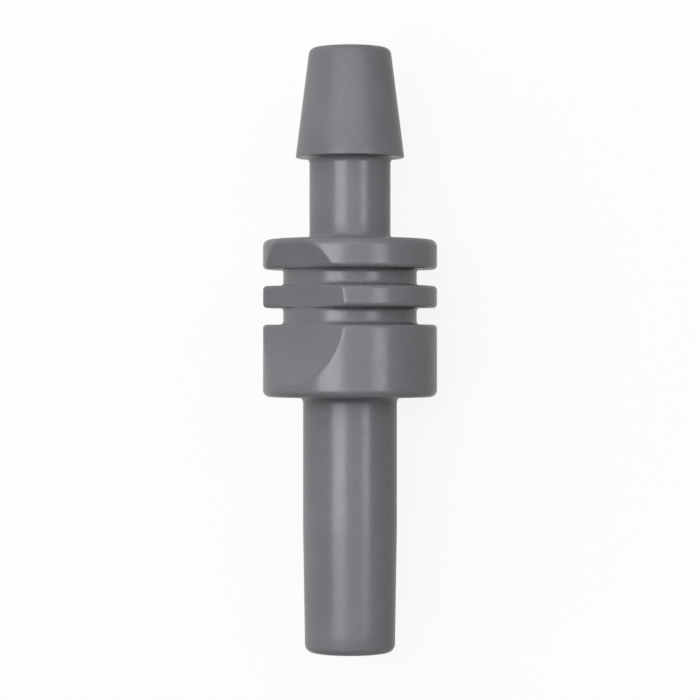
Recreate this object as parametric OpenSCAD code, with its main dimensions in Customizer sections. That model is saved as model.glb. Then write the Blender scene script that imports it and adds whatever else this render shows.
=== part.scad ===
// Blood pressure cuff connector, moulded in one piece.
// A hose barb takes the cuff's hose, a plain tube slips into the monitor hose's socket,
// and a ringed collar between them has a finger scoop on two opposite sides.
// It lies on its collar: +X runs along the air passage towards the barb's tip and +Z up,
// square to a scoop. The origin is on the passage's axis, level with the collar's face
// on the tube side. Lengths are in millimetres.

/* [Slip tube] */
// Length of the tube, from the collar to its end
tube_length = 12.9; // [9:0.1:18]
// Diameter of the straight stretch that seals in the socket
tube_d = 4.75; // [4.4:0.05:5.4]
// Length of the straight stretch, from the collar
tube_straight = 6.6; // [4:0.1:8]
// Diameter that the tapered stretch runs out to at the end
tube_end_d = 4.55; // [4.2:0.05:5.2]
// Rounding of the end's outer edge
tube_end_round = 0.4; // [0.1:0.05:0.6]

/* [Collar] */
// Diameter of the collar's rings and body
collar_d = 8.8; // [8:0.1:11]
// Diameter at the bottom of the grooves
groove_d = 6.75; // [6:0.05:7.6]
// Length of the solid body, on the tube side
collar_body = 3.65; // [2.5:0.05:5]
// Width of each groove
groove_width = 0.85; // [0.6:0.05:1.5]
// Width of the ring between the grooves
middle_ring = 1.1; // [0.8:0.05:2]
// Width of the ring on the barb side
barb_side_ring = 1.5; // [1:0.05:2.5]
// Rounding of the collar's edge on the tube side
collar_tube_edge = 0.35; // [0.1:0.05:0.4]
// Rounding of the collar's edge on the barb side
collar_barb_edge = 0.35; // [0.1:0.05:0.4]
// Rounding of the edges that look towards the barb, along the grooves
groove_edge = 0.18; // [0.05:0.01:0.2]
// Rounding of the edges that look towards the tube, along the grooves
ring_edge = 0.2; // [0.05:0.01:0.25]

/* [Finger scoops] */
// Number of scoops, evenly spaced round the collar
scoop_count = 2; // [1:1:4]
// Radius of the hollow, as seen from the side
scoop_radius = 7.2; // [5:0.1:10]
// Depth below the collar's surface
scoop_depth = 1; // [0.5:0.05:1.2]
// Distance from the collar's tube-side face to the middle of the scoop
scoop_middle = 4.3; // [3:0.05:5.5]

/* [Hose barb] */
// Length of the neck between the collar and the barb
neck_length = 4.15; // [3:0.1:6]
// Diameter of the neck
neck_d = 4.1; // [3.6:0.05:4.8]
// Length of the barb's cone
barb_length = 5.55; // [4:0.1:7]
// Diameter at the barb's shoulder
barb_d = 5.5; // [5:0.05:6.2]
// Diameter that the cone runs out to at its tip
barb_tip_d = 4.1; // [3.8:0.05:4.6]
// Rounding of the tip's outer edge
barb_tip_round = 0.33; // [0.1:0.01:0.4]
// Rounding of the shoulder's edge
shoulder_round = 0.06; // [0.03:0.01:0.1]

/* [Air passage] */
// Diameter of the air passage
passage_d = 2.5; // [1.5:0.1:2.8]
// Width of the bevel at each mouth of the passage
mouth_bevel = 0.15; // [0.05:0.05:0.25]

/* [Inside corners] */
// Fillet where the tube and the neck meet the collar, and the neck the barb
neck_fillet = 0.3; // [0.1:0.05:0.35]
// Fillet along both sides of a groove's floor
groove_fillet = 0.2; // [0.05:0.05:0.25]

/* [Hidden] */
round_steps = 4;
overcut = 1;

// Places along the axis, from the collar's tube-side face
tube_end = -tube_length;
groove_1 = collar_body;
ring_1 = groove_1 + groove_width;
groove_2 = ring_1 + middle_ring;
ring_2 = groove_2 + groove_width;
collar_end = ring_2 + barb_side_ring;
shoulder = collar_end + neck_length;
barb_tip = shoulder + barb_length;
// The fillet under the barb's shoulder, held within the shoulder's height
shoulder_fillet = min(neck_fillet, (barb_d - neck_d) / 2 - 2 * shoulder_round);

// Each outside corner from the tube's end to the barb's tip: radius, place, rounding
corners = [
    [tube_end_d / 2, tube_end, tube_end_round],
    [tube_d / 2, -tube_straight, 0],
    [tube_d / 2, 0, neck_fillet],
    [collar_d / 2, 0, collar_tube_edge],
    [collar_d / 2, groove_1, groove_edge],
    [groove_d / 2, groove_1, groove_fillet],
    [groove_d / 2, ring_1, groove_fillet],
    [collar_d / 2, ring_1, ring_edge],
    [collar_d / 2, groove_2, groove_edge],
    [groove_d / 2, groove_2, groove_fillet],
    [groove_d / 2, ring_2, groove_fillet],
    [collar_d / 2, ring_2, ring_edge],
    [collar_d / 2, collar_end, collar_barb_edge],
    [neck_d / 2, collar_end, neck_fillet],
    [neck_d / 2, shoulder, shoulder_fillet],
    [barb_d / 2, shoulder, shoulder_round],
    [barb_tip_d / 2, barb_tip, barb_tip_round],
];
outline = concat([[0, tube_end, 0]], corners, [[0, barb_tip, 0]]);

function flat(corner) = [corner.x, corner.y];
function towards(from, to) = (to - from) / norm(to - from);

// The points that round corner b, met from a and left towards c, to radius r
function rounded(a, b, c, r) =
    let (back = towards(b, a))
    let (ahead = towards(b, c))
    let (half = acos(back * ahead) / 2)
    let (centre = b + (back + ahead) / norm(back + ahead) * r / sin(half))
    let (start = b + back * r / tan(half))
    let (start_angle = atan2(start.y - centre.y, start.x - centre.x))
    let (sweep = sign(cross(b - a, c - b)) * (180 - 2 * half))
    [
        for (i = [0 : round_steps])
            let (angle = start_angle + sweep * i / round_steps)
            centre + r * [cos(angle), sin(angle)]
    ];

function outline_points(i) =
    let (b = outline[i])
    b.z == 0 || i == 0 || i == len(outline) - 1
        ? [flat(b)]
        : rounded(flat(outline[i - 1]), flat(b), flat(outline[i + 1]), b.z);

module along_axis() {
    rotate([0, 90, 0])
        children();
}

// The turned form of the tube, the collar, the neck and the barb
module outside_form() {
    along_axis()
        rotate_extrude($fn = 64)
            polygon([for (i = [0 : len(outline) - 1]) each outline_points(i)]);
}

module mouth(place, side) {
    wide_d = passage_d + 2 * (mouth_bevel + overcut);
    depth = mouth_bevel + overcut;
    translate([place - side * mouth_bevel, 0, 0])
        rotate([0, side * 90, 0])
            cylinder(h = depth, d1 = passage_d, d2 = wide_d, $fn = 48);
}

// The air passage, bevelled at both mouths
module air_passage() {
    translate([tube_end - overcut, 0, 0])
        along_axis()
            cylinder(h = barb_tip - tube_end + 2 * overcut, d = passage_d, $fn = 48);
    mouth(tube_end, -1);
    mouth(barb_tip, 1);
}

// The hollows that finger and thumb hold, each curved along the axis and straight across it
module finger_scoops() {
    for (i = [0 : scoop_count - 1])
        rotate([i * 360 / scoop_count, 0, 0])
            translate([scoop_middle, 0, collar_d / 2 - scoop_depth + scoop_radius])
                rotate([90, 0, 0])
                    cylinder(h = collar_d + 2 * overcut, r = scoop_radius, center = true, $fn = 128);
}

module connector_body() {
    color([0.44, 0.44, 0.46])
        difference() {
            outside_form();
            air_passage();
            finger_scoops();
        }
}

connector_body();
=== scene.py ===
"""A blood pressure cuff connector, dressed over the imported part,
with its floor, light and camera."""

import math

import bpy
import numpy as np
from bpy.props import FloatProperty, FloatVectorProperty, IntProperty, PointerProperty
from mathutils import Matrix, Vector


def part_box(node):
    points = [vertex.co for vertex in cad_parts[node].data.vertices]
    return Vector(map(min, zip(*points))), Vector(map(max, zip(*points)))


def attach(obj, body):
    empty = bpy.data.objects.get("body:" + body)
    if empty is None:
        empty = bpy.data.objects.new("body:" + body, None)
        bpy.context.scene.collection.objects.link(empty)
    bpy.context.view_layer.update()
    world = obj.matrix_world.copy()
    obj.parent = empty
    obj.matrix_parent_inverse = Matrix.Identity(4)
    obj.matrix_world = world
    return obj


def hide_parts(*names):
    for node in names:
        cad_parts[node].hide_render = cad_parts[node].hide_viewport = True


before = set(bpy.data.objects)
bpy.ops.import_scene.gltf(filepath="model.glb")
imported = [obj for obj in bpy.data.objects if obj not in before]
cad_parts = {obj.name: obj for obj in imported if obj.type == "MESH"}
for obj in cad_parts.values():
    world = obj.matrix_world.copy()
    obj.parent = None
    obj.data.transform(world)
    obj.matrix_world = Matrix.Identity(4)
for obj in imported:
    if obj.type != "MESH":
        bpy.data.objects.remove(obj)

bl_info = {
    "name": "Cuff Connector",
    "version": (1, 0, 0),
    "blender": (4, 5, 0),
    "location": "View3D > Sidebar > Connector",
    "description": "Builds the dressed model of a moulded blood pressure cuff connector",
    "category": "Object",
}

MM = 0.001
NODE = "connector_body"
BODY = "root"
PIECE = "moulded_body"
FULL_TURN = 2 * math.pi
# The air passage's direction, towards the barb
AXIS = Vector((1, 0, 0))
# Edges that a rounded corner of the half section is made of
ROUND_SEGMENTS = 5
# Vertices nearer than this are joined where the turned form closes
WELD_DISTANCE = 1e-6
# Edges sharper than this stay sharp in the shading
SMOOTH_ANGLE = math.radians(32)
# Keeps a scoop's surface finite straight beside the axis
LEAST_UPRIGHT = 1e-3
# The camera's sensor in millimetres, and its clipping in metres
SENSOR_WIDTH = 36
CLIP_START, CLIP_END = 0.005, 10

CAD_LOW, CAD_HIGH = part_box(NODE)
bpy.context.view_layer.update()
# The middle of the connector, where the camera and the lamps look
AIM = Vector(((CAD_LOW.x + CAD_HIGH.x) / 2, 0, 0))

# The plastic's noises, each with its scale a metre, its detail and its roughness
CLOUDS = (450.0, 3.0, 0.5)
SHEEN = (1800.0, 4.0, 0.6)
WAVES = (700.0, 1.0, 0.5)
GRAIN = (14000.0, 2.0, 0.5)
# The range that most of a noise's values lie in
NOISE_LOW, NOISE_HIGH = 0.3, 0.7
# What the clouds make of the colour, and how far the sheen moves the roughness
CLOUD_DARK, CLOUD_PALE = 0.94, 1.06
SHEEN_DEPTH = 0.04
# The strength and height of each bump
WAVES_BUMP = (0.25, 0.02 * MM)
GRAIN_BUMP = (0.15, 0.004 * MM)


def length_property(name, text, millimetres):
    return FloatProperty(
        name=name,
        description=text,
        default=millimetres * MM,
        min=0.0,
        unit="LENGTH",
        precision=5,
    )


class ConnectorSizes(bpy.types.PropertyGroup):
    """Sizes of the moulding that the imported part's box doesn't give."""

    tube_straight: length_property("Straight tube", "Straight stretch of the slip tube", 6.6)
    tube_d: length_property("Tube", "Diameter of the slip tube's straight stretch", 4.75)
    tube_end_d: length_property("Tube end", "Diameter that the tube runs out to", 4.55)
    tube_end_round: length_property("Tube end rounding", "Rounding of the tube's end", 0.4)
    collar_body: length_property("Collar body", "Length of the collar's solid body", 3.65)
    groove_width: length_property("Groove width", "Width of each groove", 0.85)
    groove_d: length_property("Groove bottom", "Diameter at the bottom of the grooves", 6.75)
    middle_ring: length_property("Middle ring", "Width of the middle ring", 1.1)
    barb_side_ring: length_property("Barb side ring", "Width of the barb side ring", 1.5)
    collar_tube_edge: length_property("Tube side edge", "Rounding on the tube side", 0.35)
    collar_barb_edge: length_property("Barb side edge", "Rounding on the barb side", 0.35)
    groove_edge: length_property("Groove edge", "Rounding of edges that look to the barb", 0.18)
    ring_edge: length_property("Ring edge", "Rounding of edges that look to the tube", 0.2)
    neck_fillet: length_property("Neck fillet", "Fillet at the ends of the neck and tube", 0.3)
    groove_fillet: length_property("Groove fillet", "Fillet along the floor of a groove", 0.2)
    neck_length: length_property("Neck length", "Length of the neck", 4.15)
    neck_d: length_property("Neck", "Diameter of the neck", 4.1)
    barb_d: length_property("Barb shoulder", "Diameter at the barb's shoulder", 5.5)
    barb_tip_d: length_property("Barb tip", "Diameter that the cone runs out to", 4.1)
    barb_tip_round: length_property("Barb tip rounding", "Rounding of the barb's tip", 0.33)
    shoulder_round: length_property("Shoulder rounding", "Rounding of the shoulder", 0.06)
    passage_d: length_property("Air passage", "Diameter of the air passage", 2.5)
    mouth_bevel: length_property("Mouth bevel", "Bevel at the passage's mouths", 0.15)
    scoop_radius: length_property("Scoop radius", "Radius of the scoop along the axis", 7.2)
    scoop_depth: length_property("Scoop depth", "Depth of the scoop at its middle", 1.0)
    scoop_middle: length_property("Scoop middle", "Place of the scoop on the collar", 4.3)
    scoop_crease: length_property("Scoop crease", "Softness of the scoop's outline", 0.03)
    turn_steps: IntProperty(
        name="Turn steps",
        description="Faces round the turned form",
        default=384,
        min=64,
        max=512,
    )


class ConnectorFinish(bpy.types.PropertyGroup):
    """Colour and sheen of the moulded plastic."""

    plastic: FloatVectorProperty(
        name="Plastic",
        description="Colour of the plastic",
        subtype="COLOR",
        size=3,
        min=0.0,
        max=1.0,
        default=(0.165, 0.163, 0.175),
    )
    gloss: FloatVectorProperty(
        name="Gloss",
        description="Tint of what the plastic reflects",
        subtype="COLOR",
        size=3,
        min=0.0,
        max=1.0,
        default=(0.93, 0.92, 1.0),
    )
    roughness: FloatProperty(
        name="Roughness",
        description="Roughness of the satin surface",
        subtype="FACTOR",
        default=0.26,
        min=0.0,
        max=1.0,
    )


class ConnectorStage(bpy.types.PropertyGroup):
    """Floor, light and camera."""

    camera_distance: length_property("Camera distance", "From the connector's axis", 135.0)
    lens: FloatProperty(
        name="Lens",
        description="Focal length in millimetres",
        default=137.2,
        min=20.0,
        max=400.0,
    )
    scoop_turn: FloatProperty(
        name="Scoop turn",
        description="How far round to the left of the view the upper scoop faces",
        subtype="ANGLE",
        default=math.radians(43.0),
    )
    floor_width: length_property("Floor width", "Width of the square floor", 1500.0)
    floor_bounce: FloatProperty(
        name="Floor bounce",
        description="Share of the light that the floor gives back to the connector",
        default=0.1,
        min=0.0,
        max=1.0,
    )
    floor_glow: FloatProperty(
        name="Floor glow",
        description="Even white of the floor, over what its shadows change",
        default=0.885,
        min=0.0,
        max=2.0,
    )
    floor_gloss: FloatProperty(
        name="Floor in the gloss",
        description="Share of the floor's glow that the plastic reflects",
        subtype="FACTOR",
        default=0.65,
        min=0.0,
        max=1.0,
    )
    room_light: FloatProperty(
        name="Room light",
        description="Strength of the even light from all round",
        default=0.9,
        min=0.0,
        max=4.0,
    )
    room_low: FloatProperty(
        name="Room low",
        description="Share of the room's light that comes from straight behind the tube",
        default=0.12,
        min=0.0,
        max=1.0,
    )
    room_edge: FloatProperty(
        name="Room edge",
        description="Share of the way along +X at which the room's light is full",
        default=0.3,
        min=-0.9,
        max=1.0,
    )


def settings():
    scene = bpy.context.scene
    return scene.connector_sizes, scene.connector_finish, scene.connector_stage


def select_only(obj):
    bpy.ops.object.select_all(action="DESELECT")
    obj.select_set(True)
    bpy.context.view_layer.objects.active = obj


def places(sizes):
    """Where each stretch of the connector starts along the axis."""
    at = {"tube_end": CAD_LOW.x, "straight": -sizes.tube_straight, "collar": 0.0}
    at["groove_1"] = sizes.collar_body
    at["ring_1"] = at["groove_1"] + sizes.groove_width
    at["groove_2"] = at["ring_1"] + sizes.middle_ring
    at["ring_2"] = at["groove_2"] + sizes.groove_width
    at["collar_end"] = at["ring_2"] + sizes.barb_side_ring
    at["shoulder"] = at["collar_end"] + sizes.neck_length
    at["tip"] = CAD_HIGH.x
    return at


def outline(sizes):
    """The corners of the half section, each with its place, radius, rounding and
    the number of parts that the stretch after it is cut into."""
    at = places(sizes)
    tube, tube_end = sizes.tube_d / 2, sizes.tube_end_d / 2
    collar, groove = CAD_HIGH.z, sizes.groove_d / 2
    neck, barb, barb_tip = sizes.neck_d / 2, sizes.barb_d / 2, sizes.barb_tip_d / 2
    bore, mouth = sizes.passage_d / 2, sizes.mouth_bevel
    root, inner, edge = sizes.neck_fillet, sizes.groove_fillet, sizes.groove_edge
    return [
        (at["tube_end"], tube_end, sizes.tube_end_round, 8),
        (at["straight"], tube, 0.0, 8),
        (at["collar"], tube, root, 6),
        (at["collar"], collar, sizes.collar_tube_edge, 38),
        (at["groove_1"], collar, edge, 8),
        (at["groove_1"], groove, inner, 4),
        (at["ring_1"], groove, inner, 8),
        (at["ring_1"], collar, sizes.ring_edge, 10),
        (at["groove_2"], collar, edge, 8),
        (at["groove_2"], groove, inner, 4),
        (at["ring_2"], groove, inner, 8),
        (at["ring_2"], collar, sizes.ring_edge, 14),
        (at["collar_end"], collar, sizes.collar_barb_edge, 6),
        (at["collar_end"], neck, root, 6),
        (at["shoulder"], neck, root, 3),
        (at["shoulder"], barb, sizes.shoulder_round, 8),
        (at["tip"], barb_tip, sizes.barb_tip_round, 2),
        (at["tip"], bore + mouth, 0.0, 1),
        (at["tip"] - mouth, bore, 0.0, 12),
        (at["tube_end"] + mouth, bore, 0.0, 1),
        (at["tube_end"], bore + mouth, 0.0, 2),
    ]


def nearest_vertex(mesh, place):
    return min(mesh.vertices, key=lambda v: (v.co - place).length_squared)


def select_vertices(obj, wanted):
    """Selects the vertices nearest to the wanted places. It leaves the object in edit mode."""
    bpy.ops.object.mode_set(mode="EDIT")
    bpy.ops.mesh.select_all(action="DESELECT")
    bpy.ops.object.mode_set(mode="OBJECT")
    for place in wanted:
        nearest_vertex(obj.data, place).select = True
    bpy.ops.object.mode_set(mode="EDIT")


def draw_half_section(sizes):
    """The outline as a closed chain of edges in the XZ plane, with its corners rounded."""
    corners = outline(sizes)
    points = [Vector((x, 0, r)) for x, r, _, _ in corners]
    bpy.ops.object.select_all(action="DESELECT")
    bpy.ops.mesh.primitive_plane_add(size=MM, location=(0, 0, 0))
    body = bpy.context.object
    body.name = body.data.name = PIECE
    bpy.ops.object.mode_set(mode="EDIT")
    bpy.ops.mesh.select_mode(type="VERT")
    bpy.ops.mesh.select_all(action="SELECT")
    bpy.ops.mesh.merge(type="CENTER")
    bpy.ops.transform.translate(value=points[0])
    for here, ahead in zip(points, points[1:]):
        bpy.ops.mesh.extrude_region_move(
            TRANSFORM_OT_translate={"value": tuple(ahead - here)}
        )
    select_vertices(body, (points[0], points[-1]))
    bpy.ops.mesh.edge_face_add()
    reaches = [round_corner(body, corners, points, i) for i in range(len(corners))]
    cut_stretches(body, corners, points, reaches)
    bpy.ops.object.mode_set(mode="OBJECT")
    return body


def round_corner(body, corners, points, i):
    """Rounds one corner of the outline, and returns how far the rounding reaches from it."""
    radius = corners[i][2]
    if radius == 0:
        return 0.0
    back = points[i - 1] - points[i]
    ahead = points[(i + 1) % len(points)] - points[i]
    reach = radius / math.tan(back.angle(ahead) / 2)
    select_vertices(body, (points[i],))
    bpy.ops.mesh.bevel(offset=reach, segments=ROUND_SEGMENTS, affect="VERTICES")
    return reach


def cut_stretches(body, corners, points, reaches):
    """Cuts each stretch between two roundings into the parts that it asks for."""
    for i, (_, _, _, parts) in enumerate(corners):
        if parts == 1:
            continue
        after = (i + 1) % len(points)
        ahead = (points[after] - points[i]).normalized()
        ends = (points[i] + ahead * reaches[i], points[after] - ahead * reaches[after])
        select_vertices(body, ends)
        bpy.ops.mesh.subdivide(number_cuts=parts - 1)


def turn_section(body, sizes):
    """Spins the half section round the axis into the closed moulding."""
    select_only(body)
    bpy.ops.object.mode_set(mode="EDIT")
    bpy.ops.mesh.select_all(action="SELECT")
    bpy.ops.mesh.spin(
        steps=sizes.turn_steps, angle=FULL_TURN, center=(0, 0, 0), axis=(1, 0, 0)
    )
    bpy.ops.mesh.select_all(action="SELECT")
    bpy.ops.mesh.remove_doubles(threshold=WELD_DISTANCE)
    bpy.ops.mesh.normals_make_consistent(inside=False)
    bpy.ops.object.mode_set(mode="OBJECT")


def press_scoops(body, sizes):
    """Lowers the collar's rings to the two scoops' surfaces, one above and one below.
    A scoop is curved along the axis and straight across, and each ring keeps its rounded
    edges because its whole height over the groove's floor is scaled."""
    mesh = body.data
    co = np.empty(len(mesh.vertices) * 3)
    mesh.vertices.foreach_get("co", co)
    co = co.reshape(-1, 3)
    x, y, z = co.T
    radius = np.hypot(y, z)
    top, floor = CAD_HIGH.z, sizes.groove_d / 2
    reach = np.clip(x - sizes.scoop_middle, -sizes.scoop_radius, sizes.scoop_radius)
    rise = sizes.scoop_radius - np.sqrt(sizes.scoop_radius**2 - reach**2)
    height = top - sizes.scoop_depth + rise
    upright = np.maximum(np.abs(z) / radius, LEAST_UPRIGHT)
    scoop = height / upright
    soft = sizes.scoop_crease
    lower = (top + scoop - np.sqrt((top - scoop) ** 2 + soft**2)) / 2
    share = (np.minimum(lower, top) - floor) / (top - floor)
    on_collar = (radius > floor) & (x >= 0) & (x <= places(sizes)["collar_end"])
    scaled = np.where(on_collar, floor + (radius - floor) * share, radius)
    co[:, 1] *= scaled / radius
    co[:, 2] *= scaled / radius
    mesh.vertices.foreach_set("co", co.ravel())
    mesh.update()


def smooth_shading(body):
    select_only(body)
    bpy.ops.object.shade_smooth_by_angle(angle=SMOOTH_ANGLE)
    bpy.ops.object.modifier_add(type="WEIGHTED_NORMAL")
    body.modifiers[-1].keep_sharp = True
    bpy.ops.object.modifier_apply(modifier=body.modifiers[-1].name)


class Nodes:
    """Short calls for the nodes of one material or world."""

    def __init__(self, tree):
        self.tree = tree
        tree.nodes.clear()

    def add(self, kind, **values):
        node = self.tree.nodes.new(kind)
        for name, value in values.items():
            setattr(node, name, value)
        return node

    def link(self, start, end):
        self.tree.links.new(start, end)

    def noise(self, coordinates, scale, detail, roughness):
        node = self.add("ShaderNodeTexNoise")
        node.inputs["Scale"].default_value = scale
        node.inputs["Detail"].default_value = detail
        node.inputs["Roughness"].default_value = roughness
        self.link(coordinates, node.inputs["Vector"])
        return node.outputs["Fac"]

    def spread(self, value, low, high):
        """Maps a noise value from its usual middle range to low and high."""
        node = self.add("ShaderNodeMapRange")
        node.inputs["From Min"].default_value = NOISE_LOW
        node.inputs["From Max"].default_value = NOISE_HIGH
        node.inputs["To Min"].default_value = low
        node.inputs["To Max"].default_value = high
        self.link(value, node.inputs["Value"])
        return node.outputs["Result"]

    def bump(self, value, strength, distance):
        node = self.add("ShaderNodeBump")
        node.inputs["Strength"].default_value = strength
        node.inputs["Distance"].default_value = distance
        self.link(value, node.inputs["Height"])
        return node


def satin_plastic(finish):
    """Grey satin plastic: a faint cloudiness, a fine grain and a slight waviness."""
    material = bpy.data.materials.new("satin_grey_plastic")
    material.use_nodes = True
    nodes = Nodes(material.node_tree)
    shader = nodes.add("ShaderNodeBsdfPrincipled")
    output = nodes.add("ShaderNodeOutputMaterial")
    nodes.link(shader.outputs["BSDF"], output.inputs["Surface"])
    shader.inputs["Specular Tint"].default_value = (*finish.gloss, 1)
    place = nodes.add("ShaderNodeTexCoord").outputs["Object"]

    clouds = nodes.noise(place, *CLOUDS)
    colour = nodes.add("ShaderNodeMix", data_type="RGBA")
    colour.inputs["A"].default_value = (*[c * CLOUD_DARK for c in finish.plastic], 1)
    colour.inputs["B"].default_value = (*[c * CLOUD_PALE for c in finish.plastic], 1)
    nodes.link(nodes.spread(clouds, 0.0, 1.0), colour.inputs["Factor"])
    nodes.link(colour.outputs["Result"], shader.inputs["Base Color"])

    low, high = finish.roughness - SHEEN_DEPTH, finish.roughness + SHEEN_DEPTH
    sheen = nodes.spread(nodes.noise(place, *SHEEN), low, high)
    nodes.link(sheen, shader.inputs["Roughness"])

    waves = nodes.bump(nodes.noise(place, *WAVES), *WAVES_BUMP)
    grain = nodes.bump(nodes.noise(place, *GRAIN), *GRAIN_BUMP)
    nodes.link(waves.outputs["Normal"], grain.inputs["Normal"])
    nodes.link(grain.outputs["Normal"], shader.inputs["Normal"])
    return material


class MESH_OT_connector_moulding(bpy.types.Operator):
    """Builds the moulded body with its barb, collar, scoops, tube and air passage"""

    bl_idname = "mesh.connector_moulding"
    bl_label = "Moulded body"

    def execute(self, context):
        sizes, finish, _ = settings()
        body = draw_half_section(sizes)
        turn_section(body, sizes)
        press_scoops(body, sizes)
        smooth_shading(body)
        body.data.materials.clear()
        body.data.materials.append(satin_plastic(finish))
        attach(body, BODY)
        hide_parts(NODE)
        return {"FINISHED"}


def view_directions(stage):
    """Unit vectors from the connector to the camera, and to the picture's right."""
    turn = stage.scoop_turn
    to_camera = Vector((0, -math.sin(turn), math.cos(turn)))
    right = Vector((0, -math.cos(turn), -math.sin(turn)))
    return to_camera, right


def aimed(place):
    """The matrix of a lamp or camera at a place, looking at the middle of the connector
    with the barb towards the top of its view."""
    back = (place - AIM).normalized()
    right = AXIS.cross(back).normalized()
    rows = Matrix((right, back.cross(right), back)).transposed()
    return Matrix.Translation(place) @ rows.to_4x4()


def add_camera(stage):
    to_camera, _ = view_directions(stage)
    data = bpy.data.cameras.new("camera")
    data.sensor_width = SENSOR_WIDTH
    data.lens = stage.lens
    data.clip_start, data.clip_end = CLIP_START, CLIP_END
    camera = bpy.data.objects.new("camera", data)
    camera.matrix_world = aimed(AIM + to_camera * stage.camera_distance)
    bpy.context.scene.collection.objects.link(camera)
    bpy.context.scene.camera = camera


def add_panel(name, stage, panel):
    """An area lamp round the axis from the view, with its length along the axis."""
    to_camera, right = view_directions(stage)
    turn, tip = math.radians(panel["turn"]), math.radians(panel["tip"])
    level = to_camera * math.cos(turn) + right * math.sin(turn)
    towards = level * math.cos(tip) + AXIS * math.sin(tip)
    data = bpy.data.lights.new(name, "AREA")
    data.shape = "RECTANGLE"
    data.size, data.size_y = panel["width"], panel["length"]
    data.energy = panel["watts"]
    lamp = bpy.data.objects.new(name, data)
    lamp.matrix_world = aimed(AIM + towards * panel["distance"])
    lamp.visible_glossy = panel["glossy"]
    lamp.visible_diffuse = not panel["glossy"]
    lamp.visible_camera = False
    bpy.context.scene.collection.objects.link(lamp)


def floor_material(stage):
    """White paper with faint shadows. It glows white to the camera, a little in the
    plastic's gloss and not at all to diffuse light, so that the underside stays dark."""
    material = bpy.data.materials.new("pale_floor")
    material.use_nodes = True
    nodes = Nodes(material.node_tree)
    output = nodes.add("ShaderNodeOutputMaterial")
    paper = nodes.add("ShaderNodeBsdfDiffuse")
    paper.inputs["Color"].default_value = (*[stage.floor_bounce] * 3, 1)
    ray = nodes.add("ShaderNodeLightPath")
    seen = nodes.add("ShaderNodeMath", operation="MULTIPLY_ADD")
    nodes.link(ray.outputs["Is Glossy Ray"], seen.inputs[0])
    seen.inputs[1].default_value = stage.floor_gloss
    nodes.link(ray.outputs["Is Camera Ray"], seen.inputs[2])
    strength = nodes.add("ShaderNodeMath", operation="MULTIPLY")
    nodes.link(seen.outputs["Value"], strength.inputs[0])
    strength.inputs[1].default_value = stage.floor_glow
    glow = nodes.add("ShaderNodeEmission")
    nodes.link(strength.outputs["Value"], glow.inputs["Strength"])
    both = nodes.add("ShaderNodeAddShader")
    nodes.link(paper.outputs["BSDF"], both.inputs[0])
    nodes.link(glow.outputs["Emission"], both.inputs[1])
    nodes.link(both.outputs["Shader"], output.inputs["Surface"])
    return material


def add_floor(stage):
    bpy.ops.object.select_all(action="DESELECT")
    bpy.ops.mesh.primitive_plane_add(
        size=stage.floor_width, location=(0, 0, CAD_LOW.z)
    )
    floor = bpy.context.object
    floor.name = "floor"
    floor.data.materials.append(floor_material(stage))


def set_surroundings(stage):
    """A white room, whose light falls off towards the tube's side."""
    world = bpy.data.worlds.new("soft_room")
    world.use_nodes = True
    nodes = Nodes(world.node_tree)
    output = nodes.add("ShaderNodeOutputWorld")
    split = nodes.add("ShaderNodeSeparateXYZ")
    nodes.link(nodes.add("ShaderNodeTexCoord").outputs["Generated"], split.inputs[0])
    fall = nodes.add("ShaderNodeMapRange")
    fall.inputs["From Min"].default_value = -1
    fall.inputs["From Max"].default_value = stage.room_edge
    fall.inputs["To Min"].default_value = stage.room_light * stage.room_low
    fall.inputs["To Max"].default_value = stage.room_light
    nodes.link(split.outputs["X"], fall.inputs["Value"])
    strength = nodes.add("ShaderNodeMix")
    ray = nodes.add("ShaderNodeLightPath")
    nodes.link(ray.outputs["Is Camera Ray"], strength.inputs["Factor"])
    nodes.link(fall.outputs["Result"], strength.inputs["A"])
    strength.inputs["B"].default_value = 1
    light = nodes.add("ShaderNodeBackground")
    light.inputs["Color"].default_value = (1, 1, 1, 1)
    nodes.link(strength.outputs["Result"], light.inputs["Strength"])
    nodes.link(light.outputs["Background"], output.inputs["Surface"])
    bpy.context.scene.world = world
    bpy.context.scene.view_settings.view_transform = "Standard"


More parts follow.
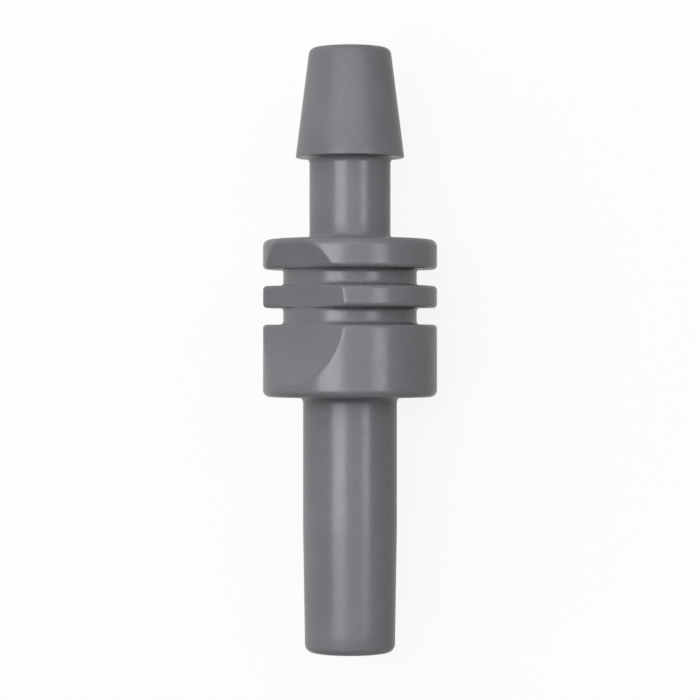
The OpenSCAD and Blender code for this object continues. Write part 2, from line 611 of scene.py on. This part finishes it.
# Each lamp: degrees round to the view's right, degrees up towards the barb, metres away,
# its size in metres, its watts, and whether it shows in the gloss or lights the surfaces.
# The main panel is farther off than the front sheen, because lamps that lie in one plane
# lose light.
PANELS = {
    "left_strip": dict(
        turn=-26, tip=0, distance=0.3, width=0.165, length=0.08, watts=0.225, glossy=True
    ),
    "right_strip": dict(
        turn=45, tip=0, distance=0.3, width=0.14, length=0.08, watts=0.17, glossy=True
    ),
    "front_sheen": dict(
        turn=-5, tip=12, distance=0.5, width=0.9, length=0.5, watts=1.1, glossy=True
    ),
    "main_panel": dict(
        turn=-4, tip=12, distance=0.6, width=0.6, length=0.18, watts=1.5, glossy=False
    ),
    "back_fill": dict(
        turn=-124, tip=-15, distance=0.5, width=0.15, length=0.4, watts=0.65, glossy=False
    ),
}


class SCENE_OT_connector_stage(bpy.types.Operator):
    """Sets the floor, the soft boxes, the surroundings and the camera"""

    bl_idname = "scene.connector_stage"
    bl_label = "Stage"

    def execute(self, context):
        _, _, stage = settings()
        add_floor(stage)
        set_surroundings(stage)
        for name, panel in PANELS.items():
            add_panel(name, stage, panel)
        add_camera(stage)
        return {"FINISHED"}


OPERATORS = (MESH_OT_connector_moulding, SCENE_OT_connector_stage)


class VIEW3D_PT_connector(bpy.types.Panel):
    bl_label = "Cuff connector"
    bl_space_type = "VIEW_3D"
    bl_region_type = "UI"
    bl_category = "Connector"

    def draw(self, context):
        for operator in OPERATORS:
            self.layout.operator(operator.bl_idname)


GROUPS = {
    "connector_sizes": ConnectorSizes,
    "connector_finish": ConnectorFinish,
    "connector_stage": ConnectorStage,
}
CLASSES = (*GROUPS.values(), *OPERATORS, VIEW3D_PT_connector)


def register():
    for cls in CLASSES:
        bpy.utils.register_class(cls)
    for name, cls in GROUPS.items():
        setattr(bpy.types.Scene, name, PointerProperty(type=cls))


def unregister():
    for name in GROUPS:
        delattr(bpy.types.Scene, name)
    for cls in reversed(CLASSES):
        bpy.utils.unregister_class(cls)


def main():
    register()
    bpy.ops.mesh.connector_moulding()
    bpy.ops.scene.connector_stage()


if __name__ == "__main__":
    main()
